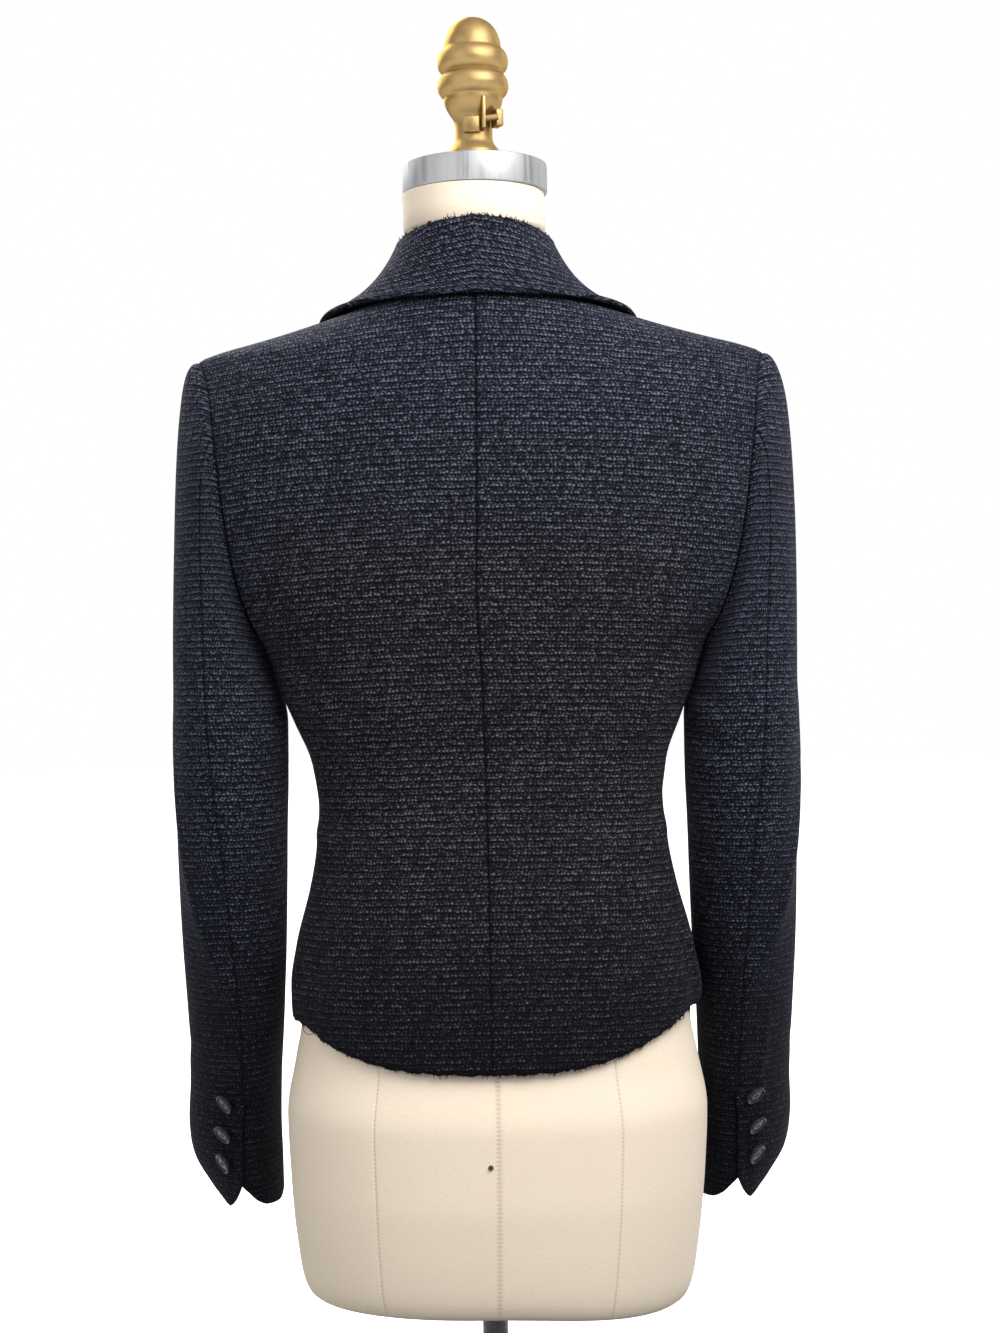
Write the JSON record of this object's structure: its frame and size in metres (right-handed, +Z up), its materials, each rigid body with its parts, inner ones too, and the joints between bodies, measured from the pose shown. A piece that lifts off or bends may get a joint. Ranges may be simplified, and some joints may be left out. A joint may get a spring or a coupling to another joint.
{
  "type": "tuxedo jacket on a limbless dress form",
  "caption": "Cropped, waisted dark wool jacket with a turned-down collar, two-piece sleeves and buttoned cuffs, on a linen dress form with a metal neck band, a gold knob and a round foot.",
  "frame": {"origin": "bottom centre of the round foot, on the surface it stands on", "axes": "+Z up; the jacket's front faces -Y and its back +Y; the wearer's left is +X"},
  "size_m": [0.4684, 0.32, 1.072],
  "materials": {
    "cloth": "ribbed, textured dark wool, matte with a faint sheen",
    "button": "dark, slightly glossy rim",
    "linen": "cream linen canvas",
    "neck_metal": "brushed",
    "gold": "gold paint on a cast knob",
    "black_metal": "satin black"
  },
  "bodies": {
    "root": {"back_left": "cloth", "back_right": "cloth", "front_left": "cloth", "front_right": "cloth", "collar": "cloth", "lapel_left": "cloth", "lapel_right": "cloth", "sleeve_upper_left": "cloth", "sleeve_upper_right": "cloth", "sleeve_under_left": "cloth", "sleeve_under_right": "cloth", "cuff_button_left_1": "button", "cuff_button_left_2": "button", "cuff_button_left_3": "button", "cuff_button_right_1": "button", "cuff_button_right_2": "button", "cuff_button_right_3": "button", "front_button": "button", "form_torso": "linen", "neck_ring": "neck_metal", "finial": "gold", "stand_rod": "black_metal", "stand_base": "black_metal"}
  },
  "joints": []
}
